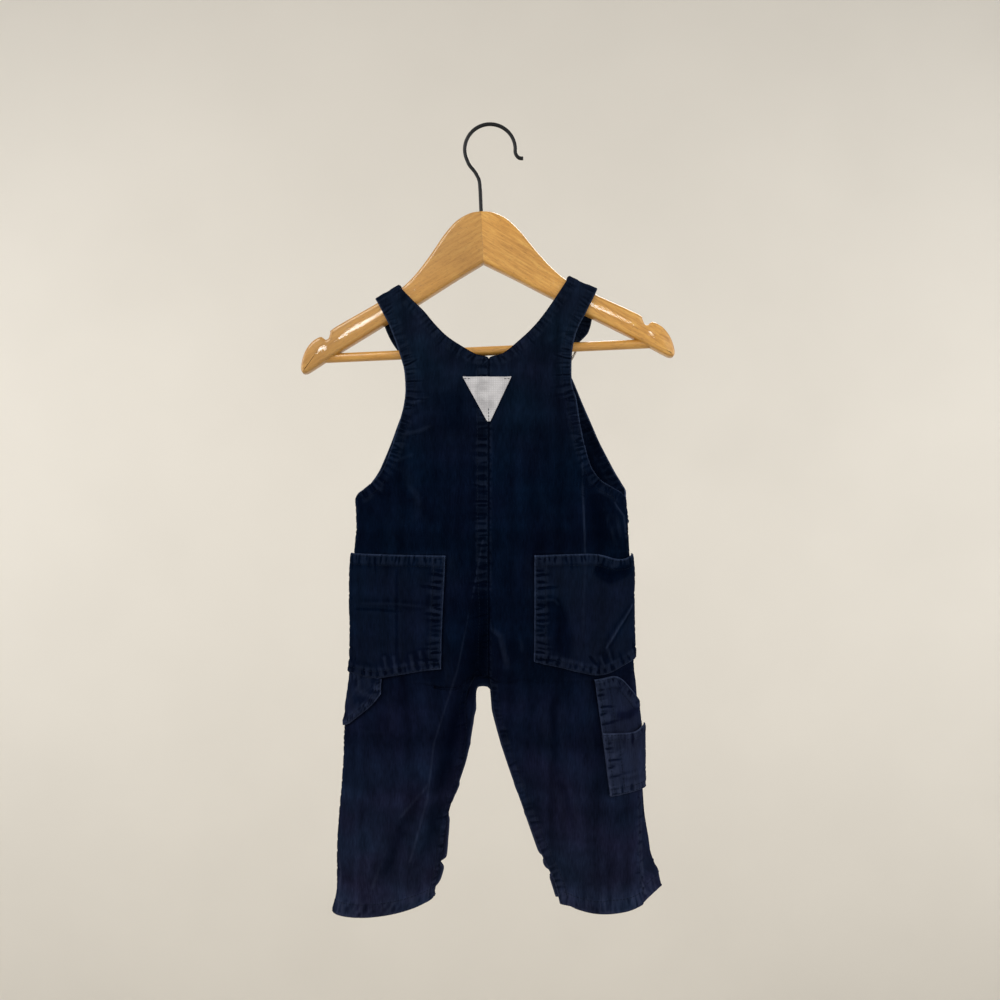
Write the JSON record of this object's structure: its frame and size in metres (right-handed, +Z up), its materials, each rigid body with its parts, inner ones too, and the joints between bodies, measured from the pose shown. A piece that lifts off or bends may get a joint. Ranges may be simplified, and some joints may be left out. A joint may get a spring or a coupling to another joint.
{
  "type": "bib overalls on a hanger",
  "caption": "Toddler's bib overalls with vest back, hip pockets and tool pocket, hanging flat from a notched wooden hanger with a wire hook.",
  "frame": {"origin": "inside top of the hanger's wire hook, where a peg or rail carries it", "axes": "+X to the right of the garment's back, +Y out of its bib side, +Z up"},
  "size_m": [0.3013, 0.053, 0.639],
  "materials": {
    "navy_cotton": "washed, brushed dark navy cotton",
    "label_weave": "plain white woven label",
    "buckle_metal": "satin nickel plate",
    "hanger_wood": "clear varnish on pale hardwood",
    "hanger_wire": "bright plated wire"
  },
  "bodies": {
    "root": {"back_left": "navy_cotton", "back_right": "navy_cotton", "bib": "navy_cotton", "front_left": "navy_cotton", "front_right": "navy_cotton", "hip_pocket_left": "navy_cotton", "hip_pocket_right": "navy_cotton", "hammer_loop": "navy_cotton", "tool_pocket": "navy_cotton", "tool_pocket_pouch": "navy_cotton", "inseam_placket": "navy_cotton", "label": "label_weave", "bib_button_left": "buckle_metal", "bib_button_right": "buckle_metal", "buckle_left": "buckle_metal", "buckle_right": "buckle_metal", "snap_left_1": "buckle_metal", "snap_left_2": "buckle_metal", "snap_left_3": "buckle_metal", "snap_left_4": "buckle_metal", "snap_left_5": "buckle_metal", "snap_left_6": "buckle_metal", "snap_right_1": "buckle_metal", "snap_right_2": "buckle_metal", "snap_right_3": "buckle_metal", "snap_right_4": "buckle_metal", "snap_right_5": "buckle_metal", "snap_right_6": "buckle_metal", "hanger_arm_left": "hanger_wood", "hanger_arm_right": "hanger_wood", "hanger_bar": "hanger_wood", "hanger_hook": "hanger_wire"}
  },
  "joints": []
}
